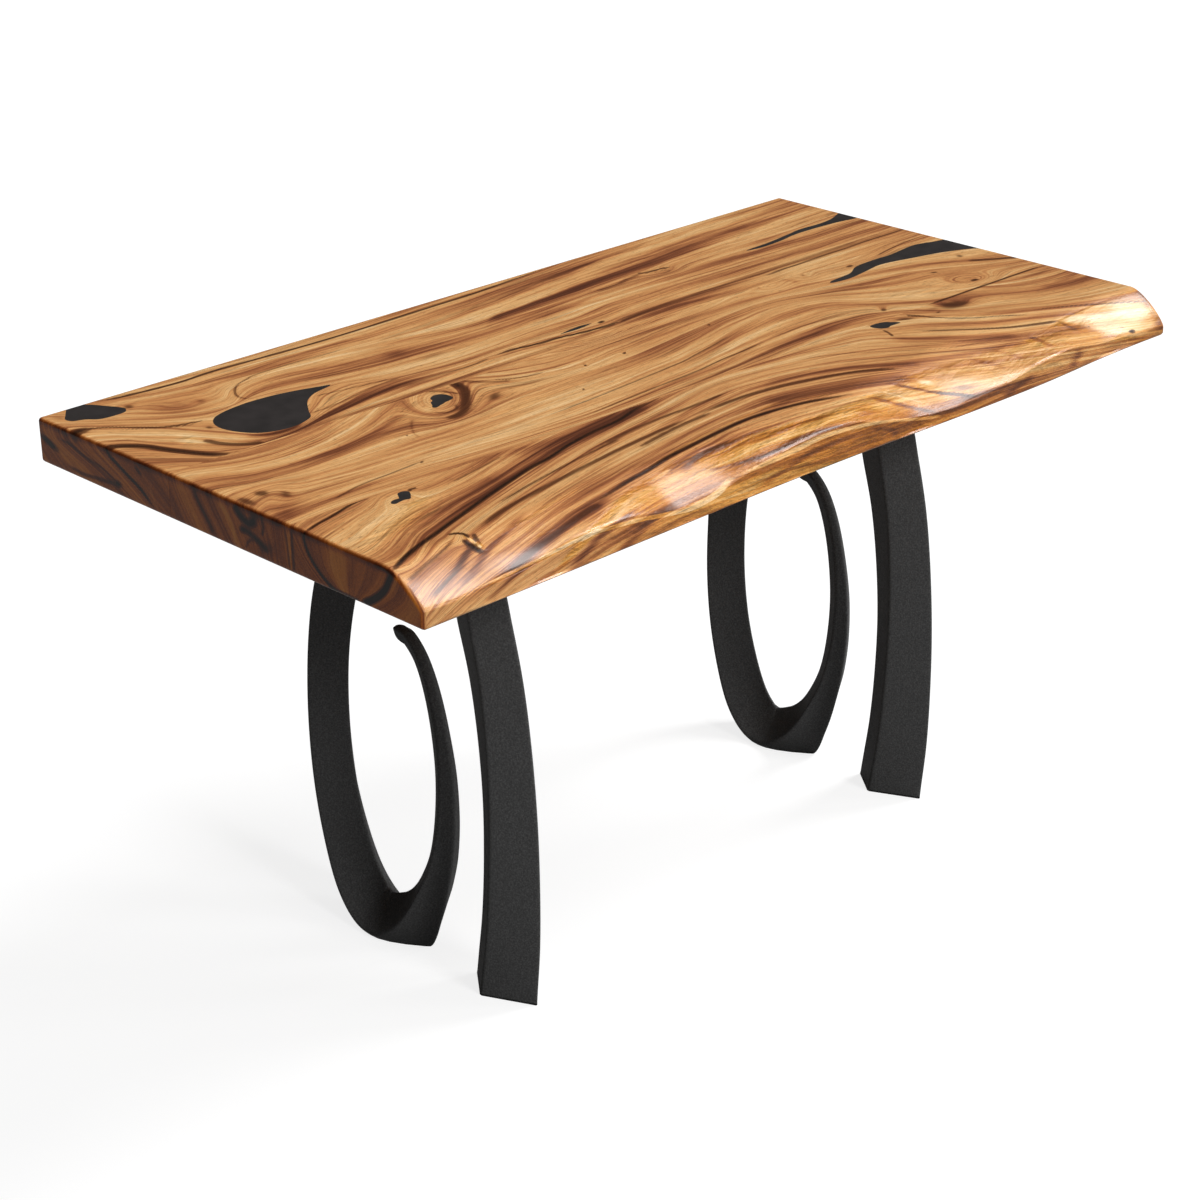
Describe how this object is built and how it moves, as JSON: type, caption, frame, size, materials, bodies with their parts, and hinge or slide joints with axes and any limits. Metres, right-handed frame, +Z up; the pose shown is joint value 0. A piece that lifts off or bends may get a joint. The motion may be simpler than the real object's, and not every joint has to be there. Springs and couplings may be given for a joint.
{
  "type": "dining table",
  "caption": "Dining-height table: a live-edge slab top of glued boards with black resin fills, on cast black legs that each curl into an open ring.",
  "frame": {"origin": "on the floor, below the middle of the top's length and width", "axes": "+X along the length of the top, -Y towards the live edge, +Z up"},
  "size_m": [1.4, 0.7411, 0.754],
  "materials": {
    "wood": "satin oil",
    "resin": "satin black resin",
    "powder_coat": "fine-textured matte powder coat",
    "zinc": "zinc plated",
    "brass": "plain",
    "rubber": "matte"
  },
  "bodies": {
    "root": {"front_board": "wood", "middle_board": "wood", "back_board": "wood", "fill_back_corner": "resin", "fill_back_pool": "resin", "fill_back_end": "resin", "fill_middle_end": "resin", "fill_back_crack": "resin", "fill_middle_knot": "resin", "fill_front_knot": "resin", "fill_front_seam": "resin", "leg_left": "powder_coat", "mounting_plate_left": "powder_coat", "foot_pad_left_bow": "rubber", "foot_pad_left_ring": "rubber", "bolt_left_1": "zinc", "insert_left_1": "brass", "bolt_left_2": "zinc", "insert_left_2": "brass", "bolt_left_3": "zinc", "insert_left_3": "brass", "bolt_left_4": "zinc", "insert_left_4": "brass", "bolt_left_5": "zinc", "insert_left_5": "brass", "bolt_left_6": "zinc", "insert_left_6": "brass", "leg_screw_left_1": "zinc", "leg_screw_left_2": "zinc", "leg_screw_left_3": "zinc", "leg_right": "powder_coat", "mounting_plate_right": "powder_coat", "foot_pad_right_bow": "rubber", "foot_pad_right_ring": "rubber", "bolt_right_1": "zinc", "insert_right_1": "brass", "bolt_right_2": "zinc", "insert_right_2": "brass", "bolt_right_3": "zinc", "insert_right_3": "brass", "bolt_right_4": "zinc", "insert_right_4": "brass", "bolt_right_5": "zinc", "insert_right_5": "brass", "bolt_right_6": "zinc", "insert_right_6": "brass", "leg_screw_right_1": "zinc", "leg_screw_right_2": "zinc", "leg_screw_right_3": "zinc"}
  },
  "joints": []
}
